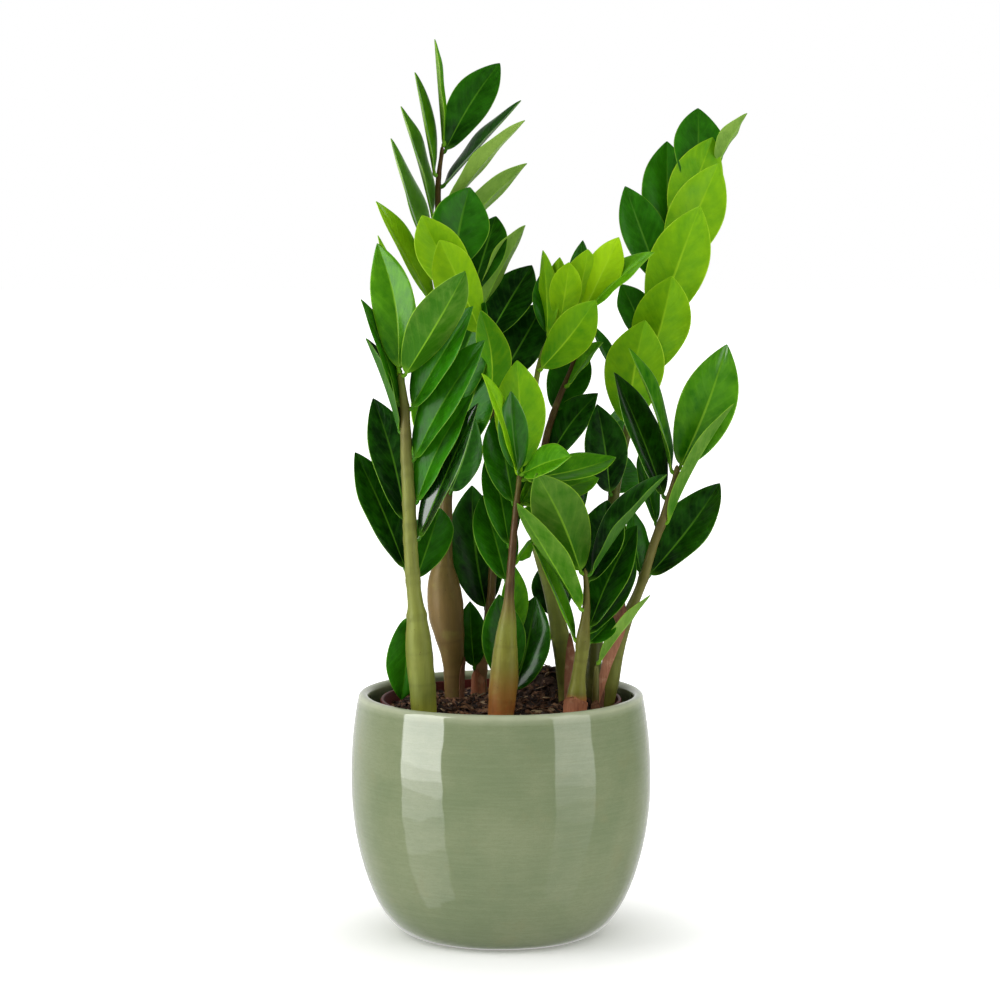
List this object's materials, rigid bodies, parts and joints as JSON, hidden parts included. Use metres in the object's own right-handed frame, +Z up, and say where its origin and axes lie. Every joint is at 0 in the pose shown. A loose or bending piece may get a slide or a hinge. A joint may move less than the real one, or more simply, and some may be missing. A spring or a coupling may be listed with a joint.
{
  "type": "potted zz plant",
  "caption": "Leafy zamioculcas with upright swollen stems and paired glossy leaflets, in a plastic grow pot set in a round glazed ceramic planter",
  "frame": {"origin": "middle of the ceramic pot's foot, on the surface it stands on", "axes": "+Z up along the pot's axis; the side seen in the picture faces -Y, with +X to its right"},
  "size_m": [0.2, 0.1557, 0.4479],
  "materials": {
    "glaze": "sage green glaze, glossy, lightly mottled",
    "grow_plastic": "red-brown moulded plastic, satin",
    "soil": null,
    "stem_olive": null,
    "stem_brown": null,
    "leaf_pale": "pale yellow-green underside or young leaflet, satin",
    "leaf_fresh": "fresh mid-green leaflet, semi-gloss",
    "leaf_dark": "deep green mature leaflet, glossy",
    "bract": "dry pinkish-brown papery bract, matte"
  },
  "bodies": {
    "root": {"ceramic_pot": "glaze", "grow_pot": "grow_plastic", "soil": "soil", "stem_front_left": "stem_olive", "stem_back_left": "stem_brown", "stem_centre_front": "stem_olive", "stem_centre_back": "stem_brown", "stem_centre_right": "stem_olive", "stem_front_right": "stem_olive", "stem_right": "stem_olive", "stem_back_right": "stem_brown", "stem_far_right": "stem_brown", "stem_far_centre": "stem_brown", "stem_young_centre": "stem_olive", "stem_young_right": "stem_olive", "leaf_centre_back_left_2": "leaf_pale", "leaf_centre_back_left_3": "leaf_pale", "leaf_centre_front_top": "leaf_pale", "leaf_back_right_right_3": "leaf_pale", "leaf_back_right_right_4": "leaf_pale", "leaf_back_right_right_5": "leaf_pale", "leaf_centre_right_left_2": "leaf_pale", "leaf_centre_right_tip": "leaf_pale", "leaf_front_left_top_right": "leaf_fresh", "leaf_front_right_top": "leaf_fresh", "leaf_front_right_left_2": "leaf_fresh", "leaf_young_right_leaf": "leaf_fresh", "leaf_back_left_tip": "leaf_fresh", "leaf_back_left_left_1": "leaf_fresh", "leaf_back_left_left_2": "leaf_fresh", "leaf_back_left_left_3": "leaf_fresh", "leaf_back_left_right_2": "leaf_fresh", "leaf_back_right_tip": "leaf_fresh", "leaf_centre_front_right_2": "leaf_fresh", "leaf_right_top_right": "leaf_fresh", "leaf_right_top_left": "leaf_fresh", "leaf_front_left_top": "leaf_fresh", "leaf_front_left_right_2": "leaf_dark", "leaf_front_left_right_3": "leaf_dark", "leaf_front_left_right_4": "leaf_dark", "leaf_front_left_left_3": "leaf_dark", "leaf_front_left_left_4": "leaf_dark", "leaf_back_left_top_right": "leaf_dark", "leaf_back_left_right_1": "leaf_dark", "leaf_centre_back_top": "leaf_dark", "leaf_centre_back_right_1": "leaf_dark", "leaf_centre_back_right_2": "leaf_dark", "leaf_centre_back_right_3": "leaf_dark", "leaf_centre_front_left_2": "leaf_dark", "leaf_centre_front_left_3": "leaf_dark", "leaf_young_centre_left": "leaf_dark", "leaf_front_right_right_2": "leaf_dark", "leaf_right_left_2": "leaf_dark", "leaf_right_right_3": "leaf_dark", "leaf_back_right_left_1": "leaf_dark", "leaf_back_right_left_2": "leaf_dark", "leaf_back_right_left_low": "leaf_dark", "leaf_front_right_right_1": "leaf_dark", "bract_centre": "bract", "bract_right": "bract"}
  },
  "joints": []
}
